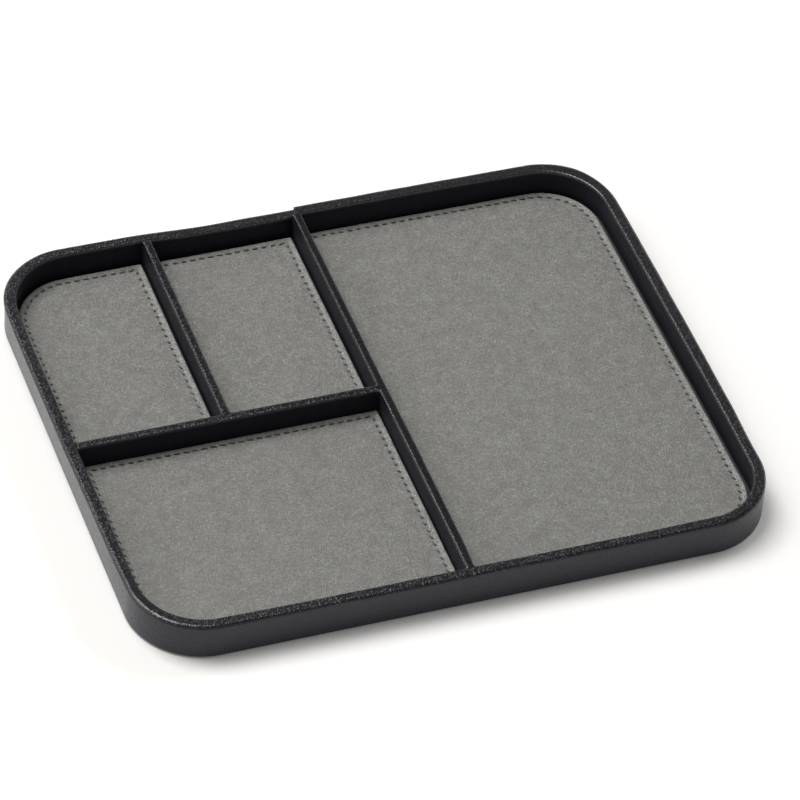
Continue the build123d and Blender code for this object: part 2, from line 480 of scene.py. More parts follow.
def divide(points, longest):
    """Adds points so that no step of a closed section is longer than longest allows there."""
    out = []
    for k in range(len(points)):
        a, b = points[k], points[(k + 1) % len(points)]
        n = max(1, math.ceil(norm(b - a) / longest((a + b) / 2)))
        out += [a + (b - a) * t / n for t in range(n)]
    return np.array(out)


def drift(points, table):
    """Values at points of the outline, eased between the bearings of a table."""
    bearing = np.degrees(np.arctan2(points[:, 1] / DEPTH, points[:, 0] / WIDTH)) % 360
    at, value = np.array([*table, (table[0][0] + 360, table[0][1])], float).T
    k = np.clip(np.searchsorted(at, bearing, side="right") - 1, 0, len(at) - 2)
    t = smoothstep((bearing - at[k]) / (at[k + 1] - at[k]))
    return value[k] * (1 - t) + value[k + 1] * t


def swept(track, section, drop, share, shift):
    """Grid of a section (inset, level) carried along a track, lowered by drop times share and
    moved outward by shift, one row of distances for each point of the track."""
    points, normals = track
    inset = np.tile(section[:, 0], (len(points), 1)) - shift
    xy = points[:, None, :] - normals[:, None, :] * inset[:, :, None]
    z = section[:, 1][None, :] - drop[:, None] * share[None, :]
    return np.concatenate([xy, z[:, :, None]], 2)


def strip_object(name, grid, material, attributes):
    """A closed strip with both ends capped."""
    rows, columns = grid.shape[:2]
    caps = [range(columns), range((rows - 1) * columns, rows * columns)[::-1]]
    faces = [tuple(reversed(f)) for f in grid_faces(rows, columns, True) + caps]
    return make_object(name, grid.reshape(-1, 3), faces, material, attributes)


def out_of_sight(inset, level):
    """Where the rim's section lies against the wall board."""
    return (inset > BAND_BACK - HAIR) & (inset < LEG_BACK + HAIR) & (level < WALL_TOP + 0.1)


def rim_section():
    """Cover of the rim: shoulder rolled over the band, soft top, rounded inner edge, inside leg."""
    top = HEIGHT + RIM_STAND
    roll = [(ROLL_START - ROLL_RADIUS * math.sin(a), top - ROLL_RADIUS * (1 - math.cos(a)))
            for a in np.radians(np.linspace(ROLL_TURN, 0, 12))]
    tuck_inset, tuck = roll[0]
    wall = WALL_TOP + RIM_CLEARANCE
    lip = [(BAND_BACK, tuck - LIP_INNER_DEPTH), (tuck_inset + LIP_INSET, tuck - LIP_OUTER_DEPTH)]
    corners = lip + roll + [
        (RIM_WIDTH, HEIGHT - RIM_EDGE_DROP), (RIM_WIDTH, BASE_TOP), (LEG_BACK, BASE_TOP),
        (LEG_BACK, wall), (BAND_BACK, wall),
    ]
    radii = [0, LIP_ROUND] + [0] * len(roll) + [RIM_EDGE_ROUND, 0, 0, 0, 0]
    steps = [0, 3] + [0] * len(roll) + [7, 0, 0, 0, 0]

    def longest(p):
        if out_of_sight(*p):
            return HIDDEN_STEP
        return FINE_STEP if p[1] > HEIGHT - FINE_DEPTH else LEG_STEP
    return divide(round_section(corners, radii, steps), longest)


def rim_cover(side, material):
    """One length of pebbled cover, with its grain raised in the mesh."""
    track = half_track(side, RIM_STEP)
    section = rim_section()
    inset, level = section.T
    roll, edge, relief, dull = (drift(track[0], table)[:, None]
                                for table in (ROLL_DRIFT, EDGE_DRIFT, RELIEF, DULL))
    across = np.clip(inset / RIM_WIDTH, 0, 1)
    upward = np.clip((level - BASE_TOP) / (HEIGHT - BASE_TOP), 0, 1)
    shift = (roll * (1 - across) + edge * across) * upward
    drop = sag(track[0]) if side < 0 else np.zeros(len(track[0]))
    share = np.where(level <= BASE_TOP + HAIR, 0.0, 1.0)
    grid = swept(track, section, drop, share, shift)
    grid[..., 2] = np.maximum(grid[..., 2], BASE_TOP)
    skin = np.where(out_of_sight(inset, level), 0.0, 1.0)
    grid, grain = raise_grain(grid, grid_normals(grid, True), relief, RIM_WAVE, skin)
    polish = 1 + FLAT_POLISH - np.clip(relief - FLAT_RELIEF, 0, FLAT_POLISH)
    name = "left" if side < 0 else "right"
    looks = per_vertex(grid, grain=grain, top=top_share(level), relief=relief,
                       dull=1 - (1 - dull) * polish)
    obj = strip_object("rim_leather_" + name, grid, material, looks)
    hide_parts("rim_cover_" + name)


def band_section():
    """Smooth outer band: tucked top edge, flat face, rolled foot and turn-in."""
    outer, turned = RIM_OVERHANG, BASE_BOTTOM + BAND_THICKNESS
    corners = [
        (outer, BAND_TOP), (BAND_BACK, BAND_TOP), (BAND_BACK, turned), (TURN_IN, turned),
        (TURN_IN, BASE_BOTTOM), (outer, BASE_BOTTOM),
    ]
    radii = [BAND_TOP_ROUND, BAND_EDGE_ROUND, 0, 0, BAND_EDGE_ROUND, BAND_FOOT_ROUND]
    section = round_section(corners, radii, [6, 3, 0, 0, 2, 7])
    return divide(section, lambda p: BAND_FACE_STEP if p[0] < outer + HAIR else BAND_HIDDEN_STEP)


def outer_band(material):
    """One strip round the outside, whose ends meet at the back where the rim steps."""
    right, left = half_track(1, BAND_STEP), half_track(-1, BAND_STEP)
    points, normals = (np.concatenate([r[::-1], q[1:]]) for r, q in zip(right, left))
    section = band_section()
    inset, level = section.T
    on_left = np.arange(len(points)) >= len(right[0]) - 1
    drop = np.where(on_left, sag(points), 0.0)
    share = np.clip((level - BAND_SAG) / BAND_SAG_RISE, 0, 1)
    upward = np.clip((level - BAND_FOOT) / (HEIGHT - BAND_FOOT), 0, 1)
    shift = drift(points, BAND_DRIFT)[:, None] * upward
    grid = swept((points, normals), section, drop, share, shift)
    face = np.where((inset < RIM_OVERHANG + BAND_THICKNESS / 2) & (level > FACE_FOOT), 1.0, 0.0)
    grid = grid + grid_normals(grid, True) * (waves(grid, BAND_WAVE) * face)[..., None]
    # edge marks the band's top, darkened by the material as edge paint and painted shade under the
    # rim's roll
    edge = smoothstep((level - (BAND_TOP - DARK_DEPTH)) / DARK_RISE)
    obj = strip_object("band_leather", grid, material, per_vertex(grid, edge=edge))
    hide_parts("outer_band")


# Dividers

def divider_section(half):
    """Leather folded over a divider, from one foot over the top to the other, as (side, level)."""
    r = DIVIDER_ROUND
    leg = [(-half, z) for z in np.arange(BASE_TOP, HEIGHT - r - 0.1, 0.45)]
    quarter = [(-half + r - r * math.cos(a), HEIGHT - DIVIDER_CROWN - r + r * math.sin(a))
               for a in np.linspace(0, math.pi / 2, 8)]
    flat = half - r
    top = [(x, HEIGHT - DIVIDER_CROWN * (x / flat) ** 2) for x in np.linspace(-flat, flat, 9)[1:-1]]
    mirrored = [(-x, z) for x, z in reversed(leg + quarter)]
    return np.array(leg + quarter + top + mirrored)


def divider_cover(name, start, end, place, relief, dives, material):
    """A folded cover along a divider. place turns (along, side, level) into the tray's axes.
    Its ends flare where the leather turns on to a divider, and dive under the rim where dives
    has a 1 for that end."""
    count = round((end - start + 2 * END_REACH) / DIVIDER_STEP) + 1
    s = np.linspace(start - END_REACH, end + END_REACH, count)
    section = divider_section(DIVIDER_HALF + DIVIDER_STAND)
    side, level = section.T
    inside = (np.clip((s - start) / FLARE_LENGTH, 0, 1), np.clip((end - s) / FLARE_LENGTH, 0, 1))
    flare = sum((1 - DIVE_FLARE * d)
                * (FLARE_LENGTH - np.sqrt(FLARE_LENGTH ** 2 - ((1 - t) * FLARE_LENGTH) ** 2))
                for t, d in zip(inside, dives))[:, None]
    beyond = (np.maximum(0, start - s), np.maximum(0, s - end))
    outside = np.maximum(*beyond)[:, None]
    dive = sum(d * END_DIVE * np.clip(o / DIVE_LENGTH, 0, 1) ** 2 for o, d in zip(beyond, dives))
    spread = np.exp(-(HEIGHT - level) / FLARE_DEPTH)
    width = side * (1 + flare * FLARE_WIDTH * spread / DIVIDER_HALF)
    z = np.tile(level, (len(s), 1))
    tuck = np.clip(outside / TUCK_LENGTH, 0, 1)
    z = z * (1 - tuck) + np.maximum(z, HEIGHT - TUCK_DEPTH) * tuck
    z = z - END_DROP * (outside / END_REACH) ** 2 - dive[:, None]
    grid = place(np.stack([np.tile(s[:, None], (1, len(section))), width, z], 2))
    normal = grid_normals(grid, False)
    faces = grid_faces(*grid.shape[:2], False)
    if normal[:, len(section) // 2, 2].mean() < 0:
        normal = -normal
        faces = [tuple(reversed(f)) for f in faces]
    grid, grain = raise_grain(grid, normal, relief, DIVIDER_WAVE)
    dull = (DIVIDER_DULL * np.exp(-(side / DULL_HALF) ** 4)
            - EDGE_POLISH * np.exp(-((np.abs(side) - EDGE_SIDE) / EDGE_HALF) ** 2))
    looks = per_vertex(grid, grain=grain, top=top_share(z), dull=dull, relief=relief)
    obj = make_object(name, grid.reshape(-1, 3), faces, material, looks)
    return obj


def along_y(x, bow=0.0):
    """Places a divider along Y, its front part leaning right by up to bow and a little wider."""
    def place(g):
        y, z = g[..., 0], g[..., 2]
        ahead = smoothstep((BOW_START - y) / BOW_RISE) * smoothstep((y + INNER_Y) / BOW_END)
        lean = bow * ahead * np.clip((z - BASE_TOP) / BOW_HEIGHT, 0, 1)
        return np.stack([x - g[..., 1] * (1 + BOW_SPREAD * lean) + lean, y, z], -1)
    return place


def along_x(y):
    """Places a divider along X."""
    return lambda g: np.stack([g[..., 0], y + g[..., 1], g[..., 2]], -1)


def make_dividers(material):
    """The three divider covers, each from its start to its end and with its dives."""
    for label, start, end, place, dives in (
        ("long", -INNER_Y, INNER_Y, along_y(LONG_X, LONG_BOW), (1, 1)),
        ("cross", -INNER_X, LONG_LEFT, along_x(CROSS_Y), (1, 0)),
        ("short", CROSS_BACK, INNER_Y, along_y(SHORT_X), (0, 1)),
    ):
        cover = divider_cover(label + "_divider_leather", start, end, place,
                              DIVIDER_RELIEF[label], dives, material)
        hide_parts(label + "_divider_cover")


# Panels

class Panel:
    """A stitched grey panel: its outline, its stitch line and the holes along it. rounded has a 1
    for each round corner, from the front left."""

    def __init__(self, name, box, rounded, seed, lift=0.0):
        self.name, self.box, self.seed = name, box, seed
        self.level = PANEL_TOP + lift
        self.radii = [PANEL_CORNER_ROUND if r else PANEL_SQUARE_ROUND for r in rounded]
        x0, x1, y0, y1 = box
        self.per_side = []
        for k, length in enumerate((x1 - x0, y1 - y0) * 2):
            straight = length - self.radii[k] - self.radii[(k + 1) % 4]
            self.per_side.append(max(4, round(straight / RING_STEP)))
        self.per_corner = [round(r * math.pi / 2 / RING_STEP) if r > ROUND_CORNER
                           else SQUARE_CORNER_POINTS for r in self.radii]

    def ring(self, inset):
        """Points round the panel at an inset from its edge, anticlockwise from the left end of
        its front side and as many at every inset."""
        x0, x1, y0, y1 = np.array(self.box) + (inset, -inset, inset, -inset)
        radii = [max(r - inset, LEAST_ROUND) for r in self.radii]
        centres = np.array([
            (x0 + radii[0], y0 + radii[0]), (x1 - radii[1], y0 + radii[1]),
            (x1 - radii[2], y1 - radii[2]), (x0 + radii[3], y1 - radii[3]),
        ])
        out = []
        for k, nxt in enumerate((1, 2, 3, 0)):
            a = -math.pi / 2 + k * math.pi / 2
            direction = np.array((math.cos(a), math.sin(a)))
            start = centres[k] + radii[k] * direction
            end = centres[nxt] + radii[nxt] * direction
            for t in np.arange(self.per_side[k]) / self.per_side[k]:
                out.append(start * (1 - t) + end * t)
            for t in np.arange(self.per_corner[nxt]) / self.per_corner[nxt]:
                angle = a + t * math.pi / 2
                out.append(centres[nxt] + radii[nxt] * np.array((math.cos(angle), math.sin(angle))))
        return np.array(out)

    def flat_size(self):
        """Width and length of the leather before it was sewn down, and its area, in metres."""
        x0, x1, y0, y1 = self.box
        cut_off = (1 - math.pi / 4) * sum(r * r for r in self.radii)
        return ((x1 - x0) * MM, (y1 - y0) * MM), ((x1 - x0) * (y1 - y0) - cut_off) * MM * MM

    def stitch_line(self):
        """The stitch ring, the arc length at each of its points, its whole length, and the arc
        lengths of the holes."""
        ring = self.ring(STITCH_INSET)
        step = norm(np.roll(ring, -1, 0) - ring, axis=1)
        s = np.append(0, np.cumsum(step))
        total, s = s[-1], s[:-1]
        # column numbers at the middle of each square corner
        corners, at = [], 0
        for k, nxt in enumerate((1, 2, 3, 0)):
            at += self.per_side[k]
            if self.radii[nxt] < ROUND_CORNER:
                corners.append(at + self.per_corner[nxt] // 2)
            at += self.per_corner[nxt]
        holes = []
        for here, there in zip(corners, corners[1:] + corners[:1]):
            length = (s[there] - s[here]) % total
            n = max(1, round(length / STITCH_PITCH))
            holes += [(s[here] + length * i / n) % total for i in range(n)]
        return ring, s, total, np.array(sorted(holes))


def point_at(ring, s, total, where):
    """Points of a closed ring at given arc lengths."""
    closed = np.concatenate([ring, ring[:1]])
    ss = np.append(s, total)
    w = np.mod(where, total)
    return np.stack([np.interp(w, ss, values) for values in closed.T], -1)


def panel_profile(inset, facing_right):
    """Height of the leather's top over the panel's level at an inset from its edge: a soft lip
    and a shallow valley at the stitches. Edges that face right turn up."""
    lip, valley, wide = (height * np.exp(-((inset - middle) / spread) ** 2)
                         for height, middle, spread in (PANEL_LIP, VALLEY, WIDE_VALLEY))
    turned_up = TURN_UP * facing_right * smoothstep((TURN_UP_INSET - inset) / TURN_UP_REACH)
    edge = EDGE_DROP * np.clip(1 - inset / EDGE_WIDTH, 0, 1) ** EDGE_POWER
    return lip + turned_up + valley + wide - edge


def panel_unevenness(points, seed):
    """Slow and less slow waves in a panel's top, in millimetres."""
    return sum(slow_noise(points, size, seed + k) * height
               for k, (size, height) in enumerate(PANEL_WAVES))


def stitch_shape(along_y):
    """Half length and slant of stitches; along_y is 1 on rows along Y and 0 on rows along X."""
    return (STITCH_HALF + STITCH_HALF_ALONG_Y * along_y,
            STITCH_SLANT + STITCH_SLANT_ALONG_Y * along_y)


def sewn_border(panel, stitches):
    """Grid of the border of a panel's leather, a row at its foot and then one for each inset, with
    two attributes: how far a point is outside the stitches, weighted up where the border faces
    right for a painted highlight, and how far it is in a hole under one, which the material darkens
    as painted shade."""
    ring, s, total, holes = stitches
    # signed distance along the stitch line from each column to the middle of its stitch
    ends = np.append(holes[1:], holes[0] + total)
    middles = (holes + ends) / 2
    gap = (s[:, None] - middles[None, :] + total / 2) % total - total / 2
    nearest = np.abs(gap).argmin(1)
    along = gap[np.arange(len(ring)), nearest]
    half_pitch = ((ends - holes) / 2)[nearest]
    outward = (panel.ring(0.0) - panel.ring(STITCH_INSET)) / STITCH_INSET
    facing_right = np.clip(outward[:, 0], 0, 1)
    half, slant = stitch_shape(np.clip(np.abs(outward[:, 0]), 0, 1))
    grid = np.zeros((len(INSETS) + 1, len(ring), 3))
    border, hole = np.zeros((2, *grid.shape[:2]))
    grid[0, :, :2] = panel.ring(INSETS[0])
    grid[0, :, 2] = PANEL_BOTTOM
    for i, inset in enumerate(INSETS, 1):
        across = inset - STITCH_INSET - slant * along
        pit = np.exp(-(along / half) ** 6 - (across / PIT_HALF_WIDTH) ** 4)
        bridge = np.exp(-((np.abs(along) - half_pitch) / BRIDGE_LENGTH) ** 2
                        - (across / BRIDGE_WIDTH) ** 2)
        level = panel.level + panel_profile(inset, facing_right)
        grid[i, :, :2] = panel.ring(inset)
        grid[i, :, 2] = level - PIT_DEPTH * pit + BRIDGE_HEIGHT * bridge
        # border paleness: burnished everywhere at BORDER_LEAST, with a painted highlight added
        # where the edge faces right
        border[i] = ((BORDER_LEAST + (1 - BORDER_LEAST) * facing_right)
                     * (1 - float(smoothstep(inset - BORDER_INSET))))
        # the hole mask carries painted shade into the stitch holes
        hole[i] = pit
    grid[1:, :, 2] += panel_unevenness(grid[1:].reshape(-1, 3), panel.seed).reshape(hole[1:].shape)
    return grid, border, hole


def fill_points(panel):
    """A plain grid of points, in plan, inside the innermost ring of a panel."""
    x0, x1, y0, y1 = panel.box
    inner = INSETS[-1]
    gx, gy = np.meshgrid(*(
        np.arange(low + inner + FILL_STEP, high - inner - FILL_STEP / 2, FILL_STEP)
        for low, high in ((x0, x1), (y0, y1))))
    fill = np.stack([gx.ravel(), gy.ravel()], 1)
    for r, (x, y) in zip(panel.radii, ((-1, -1), (1, -1), (1, 1), (-1, 1))):
        if r > inner + 1:
            centre = (x0 + r if x < 0 else x1 - r, y0 + r if y < 0 else y1 - r)
            away = (fill - centre) * (x, y)
            far = np.hypot(*away.T) > r - inner - FILL_STEP * 0.7
            fill = fill[~((away > 0).all(1) & far)]
    return fill


def panel_middle(panel, ring, first):
    """Points and triangles of a panel's middle, inside a ring of points whose numbers start at
    first. The new points follow the ring's."""
    fill = fill_points(panel)
    plan = [Vector(p) for p in np.concatenate([ring, fill]).tolist()]
    edges = [(j, (j + 1) % len(ring)) for j in range(len(ring))]
    found, _, triangles, origins = geometry.delaunay_2d_cdt(
        plan, edges, [list(range(len(ring)))], 1, 1e-6)[:4]
    points = np.concatenate([fill, np.full((len(fill), 1), panel.level)], 1)
    points[:, 2] += panel_unevenness(points, panel.seed)
    # a point that only the triangles need comes after the others
    own = [(*at, panel.level) for at, origin in zip(found, origins) if not origin]
    spare = iter(range(first + len(plan), first + len(plan) + len(own)))
    number = [first + origin[0] if origin else next(spare) for origin in origins]
    points = np.concatenate([points, np.reshape(own, (-1, 3))])
    return points, [tuple(number[v] for v in t) for t in triangles]


def panel_leather(panel, stitches, material):
    """A panel's leather: sewn border, middle and underside."""
    grid, border, hole = sewn_border(panel, stitches)
    rows, around = grid.shape[:2]
    middle, triangles = panel_middle(panel, grid[-1, :, :2], (rows - 1) * around)
    faces = grid_faces(rows, around, True) + triangles + [tuple(reversed(range(around)))]
    verts = np.concatenate([grid.reshape(-1, 3), middle])
    edge = np.zeros(len(verts))
    edge[:around * EDGE_ROWS] = 1.0
    plain = np.zeros(len(middle))
    looks = {"edge": edge, "border": np.append(border, plain), "hole": np.append(hole, plain)}
    obj = make_object(panel.name + "_leather", verts, faces, material, looks)
    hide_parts(panel.name + "_panel_leather")
    return obj


def panel_thread(panel, stitches, material):
    """Two-ply thread: one arched stitch from each hole to the next, slanted a little."""
    ring, s, total, holes = stitches
    t = np.linspace(-1, 1, THREAD_STEPS)
    angle = 2 * math.pi * np.arange(THREAD_POINTS) / THREAD_POINTS
    twist = 2 * angle[None, :] - 2 * math.pi * t[:, None] * PLY_TWIST
    radius = (THREAD_RADIUS * (1 + PLY_SHARE * np.cos(twist)))[..., None]
    quads = grid_faces(THREAD_STEPS, THREAD_POINTS, True)
    count = THREAD_STEPS * THREAD_POINTS
    caps = [range(THREAD_POINTS)[::-1], range(count - THREAD_POINTS, count)]
    verts, faces = [], []
    for a, b in zip(holes, np.append(holes[1:], holes[0] + total)):
        middle = (a + b) / 2
        chord = np.array([middle - THREAD_CHORD, middle + THREAD_CHORD])
        ahead = np.diff(point_at(ring, s, total, chord), axis=0)[0]
        ahead /= norm(ahead)
        half, slant = stitch_shape(abs(ahead[1]))
        half += THREAD_REACH
        inward = np.array((-ahead[1], ahead[0]))
        xy = point_at(ring, s, total, middle + half * t) + inward * (slant * half * t)[:, None]
        z = panel.level - THREAD_SINK + THREAD_ARCH * (1 - np.abs(t) ** THREAD_FLATNESS)
        centre = np.concatenate([xy, z[:, None]], 1)
        tangent = np.gradient(centre, axis=0)
        tangent /= norm(tangent, axis=1, keepdims=True)
        u = np.append(inward, 0.0)
        w = np.cross(tangent, u)[:, None, :]
        tube = radius * (np.cos(angle)[:, None] * u + np.sin(angle)[:, None] * w)
        first = len(verts) * count
        faces += [tuple(first + v for v in f) for f in quads + caps]
        verts.append(centre[:, None, :] + tube)
    obj = make_object(panel.name + "_thread", np.reshape(verts, (-1, 3)), faces, material)
    return obj


def make_panels(leather_material, thread_material):
    """The four panels with their threads. A box is left, right, front, back."""
    left, front = PANEL_GAP - INNER_X, PANEL_GAP - INNER_Y
    behind = CROSS_BACK + PANEL_GAP
    beside = SHORT_X - DIVIDER_HALF - PANEL_GAP, SHORT_X + DIVIDER_HALF + PANEL_GAP
    cross_front = CROSS_Y - DIVIDER_HALF
    for panel in (
        Panel("left", (left, beside[0], behind, INNER_Y - BACK_GAP_LEFT), (0, 0, 0, 1), 21),
        Panel("middle", (beside[1], LONG_LEFT - PANEL_GAP, behind, INNER_Y - BACK_GAP_MIDDLE),
              (0, 0, 0, 0), 31),
        Panel("front", (left, LONG_LEFT - FRONT_PANEL_RIGHT_GAP,
                        front, cross_front - FRONT_PANEL_BACK_GAP),
              (1, 0, 0, 0), 41, FRONT_PANEL_LIFT),
        Panel("right", (LONG_X + DIVIDER_HALF + PANEL_GAP, INNER_X - RIGHT_PANEL_GAP,
                        front, INNER_Y - PANEL_GAP), (0, 1, 1, 0), 51),
    ):
        stitches = panel.stitch_line()
        leather = panel_leather(panel, stitches, leather_material)
        sewn = panel_thread(panel, stitches, thread_material)
        flat, area = panel.flat_size()


# Materials

class Nodes:
    """Short calls for building a node tree. A value is a number, a colour's red, green and blue,
    or a socket."""

    def __init__(self, tree):
        self.tree = tree

    def add(self, kind, inputs=None, **settings):
        node = self.tree.nodes.new("ShaderNode" + kind)
        for key, value in settings.items():
            setattr(node, key, value)
        for key, value in (inputs or {}).items():
            self.put(node.inputs[key], value)
        return node

    def put(self, socket, value):
        if isinstance(value, bpy.types.NodeSocket):
            self.tree.links.new(value, socket)
        else:
            socket.default_value = (*value, 1.0) if isinstance(value, tuple) else value

    def ramp(self, value, low, high, out_low=0.0, out_high=1.0, smooth=False):
        node = self.add("MapRange", {
            "Value": value, "From Min": low, "From Max": high, "To Min": out_low,
            "To Max": out_high}, interpolation_type="SMOOTHSTEP" if smooth else "LINEAR")
        return node.outputs["Result"]

    def maths(self, operation, a, b=0.0):
        return self.add("Math", {0: a, 1: b}, operation=operation).outputs[0]

    def times(self, a, b):
        return self.maths("MULTIPLY", a, b)

    def seen(self):
        """1 for rays from the camera, straight or turned by gloss or glass, and 0 for others."""
        path = self.add("LightPath").outputs
        either = self.maths("MAXIMUM", path["Is Camera Ray"], path["Is Glossy Ray"])
        return self.maths("MAXIMUM", either, path["Is Transmission Ray"])


class Surface(Nodes):
    """A material's nodes. Sizes are in millimetres on the object."""

    def __init__(self, name):
        self.material = bpy.data.materials.new(name)
        self.material.use_nodes = True
        super().__init__(self.material.node_tree)
        self.shader = self.tree.nodes["Principled BSDF"]
        self.place = self.add("TexCoord").outputs["Object"]

    def set(self, **values):
        for key, value in values.items():
            self.put(self.shader.inputs[key.replace("_", " ")], value)

    def noise(self, size_mm, detail=3.0, roughness=0.55):
        node = self.add("TexNoise", {
            "Vector": self.place, "Scale": 1.0 / (size_mm * MM), "Detail": detail,
            "Roughness": roughness})
        return node.outputs["Fac"]

    def cells(self, size_mm, feature="F1", vector=None):
        node = self.add("TexVoronoi", {
            "Vector": vector or self.place, "Scale": 1.0 / (size_mm * MM)}, feature=feature)
        return node.outputs["Distance"]

    def mix(self, factor, a, b):
        inputs = {"Factor": factor, "A": a, "B": b}
        return self.add("Mix", inputs, data_type="RGBA").outputs["Result"]

    def scaled(self, vector, scale):
        node = self.add("VectorMath", {0: vector, "Scale": scale}, operation="SCALE")
        return node.outputs[0]

    def attribute(self, name):
        return self.add("Attribute", attribute_name=name).outputs["Fac"]

    def depth(self, factor, low_mm, high_mm):
        """A bump depth in metres that grows with factor."""
        return self.ramp(factor, 0.0, 1.0, low_mm * MM, high_mm * MM)

    def bump(self, height, depth_mm, below=None):
        distance = depth_mm if isinstance(depth_mm, bpy.types.NodeSocket) else depth_mm * MM
        inputs = {"Height": height, "Distance": distance, "Strength": 1.0}
        if below is not None:
            inputs["Normal"] = below
        return self.add("Bump", inputs).outputs["Normal"]


def pebbled_leather():
    """Black leather with raised grain and painted shade in its creases: polished on the tops, matt
    down the legs.
    """
    m = Surface("pebbled_leather")
    grain = m.attribute("grain")
    top = m.attribute("top")
    patches = m.noise(14.0)
    # deep is the colour in the grain's creases, darker than the grain's tops: painted shade in the
    # creases
    deep = m.mix(patches, (0.0036, 0.0035, 0.0050), (0.0060, 0.0058, 0.0080))
    high = m.mix(patches, (0.0058, 0.0056, 0.0080), (0.0084, 0.0081, 0.0112))
    leg = m.mix(patches, (0.0108, 0.0105, 0.0156), (0.0150, 0.0146, 0.0216))
    m.set(Base_Color=m.mix(top, leg, m.mix(grain, deep, high)))
    fine = m.noise(0.35, 4.0, 0.7)
    worn = m.ramp(grain, 0.2, 1.0, 0.36, 0.23)
    rough = m.maths("ADD", worn, m.ramp(fine, 0.3, 0.7, -0.03, 0.03))
    m.set(Roughness=m.maths("ADD", rough, m.ramp(top, 0.0, 1.0, 0.22, 0.0)))
    shine = m.ramp(top, 0.0, 1.0, 0.12, 0.62)
    clear = m.maths("SUBTRACT", 1.0, m.attribute("dull"))
    m.set(Specular_IOR_Level=m.times(shine, clear))
    pebble = m.ramp(m.cells(0.85), 0.05, 0.6, 1.0, 0.0, True)
    small = m.ramp(m.cells(0.42, "SMOOTH_F1"), 0.0, 0.8, 1.0, 0.0)
    raised = m.times(m.depth(top, 0.05, 0.105), m.attribute("relief"))
    m.set(Normal=m.bump(fine, 0.02, m.bump(small, 0.025, m.bump(pebble, raised))))
    return m.material


def band_leather():
    """Smooth black leather: a close print of pores under a light finish, darker at its top edge
    with edge paint and painted shade under the rim's roll.
    """
    m = Surface("band_leather")
    colour = m.mix(m.noise(26.0), (0.0125, 0.0120, 0.0205), (0.0170, 0.0164, 0.0260))
    haze = m.noise(1.6, 5.0, 0.65)
    pores = m.ramp(m.cells(0.7, "SMOOTH_F1"), 0.0, 0.7, 1.0, 0.0)
    # edge paint with painted shade under the rim's roll: the band darkens at its top edge
    m.set(Base_Color=m.mix(m.attribute("edge"), colour, (0.005, 0.005, 0.0065)),
          Roughness=m.ramp(haze, 0.3, 0.7, 0.30, 0.46),
          Normal=m.bump(haze, 0.16, m.bump(pores, 0.09)),
          Specular_IOR_Level=0.38, Sheen_Weight=0.25, Sheen_Roughness=0.3)
    return m.material


def grey_leather():
    """Warm grey leather with a close grain, faint creases and a paler cut edge; painted shade
    darkens its creases and stitch holes, and a painted highlight lightens borders that face right.
    """
    m = Surface("panel_leather")
    grain_mm = 0.78
    colour = m.mix(m.noise(11.0, 3.0, 0.6), (0.291, 0.287, 0.269), (0.336, 0.332, 0.311))
    # grains of uneven outline, each a little lighter or darker than the next
    warp = m.add("TexNoise", {"Vector": m.place, "Scale": 900.0, "Detail": 2.0})
    shift = m.scaled(warp.outputs["Color"], 0.0006)
    moved = m.add("VectorMath", {0: m.place, 1: shift}, operation="ADD").outputs[0]
    crease = m.ramp(m.cells(grain_mm, "DISTANCE_TO_EDGE", moved), 0.0, 0.20, 0.0, 1.0, True)
    tone = m.add("TexVoronoi", {"Vector": moved, "Scale": 1.0 / (grain_mm * MM)})
    tone = m.add("SeparateColor", {"Color": tone.outputs["Color"]}).outputs[0]
    worn = m.ramp(m.noise(1.1, 3.0, 0.7), 0.32, 0.68, 0.83, 1.17)
    mottled = m.ramp(m.noise(5.5, 2.0, 0.5), 0.35, 0.65, 0.94, 1.06)
    tone = m.ramp(tone, 0.0, 1.0, 0.88, 1.12)
    light = m.times(m.times(worn, mottled), tone)
    # the border is flecked with a paler colour: a burnished border, with a painted highlight added
    # where it faces right toward the lamps
    border = m.attribute("border")
    highlight_flecks = m.ramp(m.noise(0.9, 2.0, 0.6), 0.40, 0.60, 0.05, 0.45)
    highlight_flecks = m.maths("ADD", 1.0, m.times(border, highlight_flecks))
    colour = m.scaled(colour, m.times(light, highlight_flecks))
    # crease lines between the grains are darkened towards a dark grey: painted shade in the creases
    colour = m.mix(crease, m.mix(0.55, (0.08, 0.078, 0.074), colour), colour)
    # painted shade in the stitch holes: the leather darkens where the hole mask is, more in some
    # places than others
    hole = m.times(m.attribute("hole"), m.ramp(m.noise(6.0), 0.38, 0.6, 0.45, 1.0))
    colour = m.mix(hole, colour, (0.065, 0.064, 0.062))
    folds = m.bump(m.noise(7.0, 2.0, 0.5), 0.5, m.bump(m.noise(2.4, 3.0, 0.6), 0.25))
    creased = m.bump(crease, 0.17, folds)
    crinkled = m.bump(m.noise(1.3, 2.0, 0.6), m.depth(border, 0.0, 0.45), creased)
    m.set(Base_Color=m.mix(m.attribute("edge"), colour, (0.30, 0.295, 0.28)),
          Roughness=m.ramp(crease, 0.0, 1.0, 0.66, 0.44),
          Normal=m.bump(m.noise(0.28, 3.0, 0.6), 0.04, crinkled),
          Specular_IOR_Level=0.4, Sheen_Weight=0.06)
    return m.material


def waxed_thread():
    """Dark grey two-ply thread with a waxed shine."""
    m = Surface("thread")
    fibres = m.noise(0.12, 3.0, 0.6)
    m.set(Base_Color=m.mix(fibres, (0.045, 0.045, 0.045), (0.085, 0.084, 0.082)),
          Roughness=m.ramp(fibres, 0.3, 0.7, 0.28, 0.40), Normal=m.bump(fibres, 0.02))
    return m.material


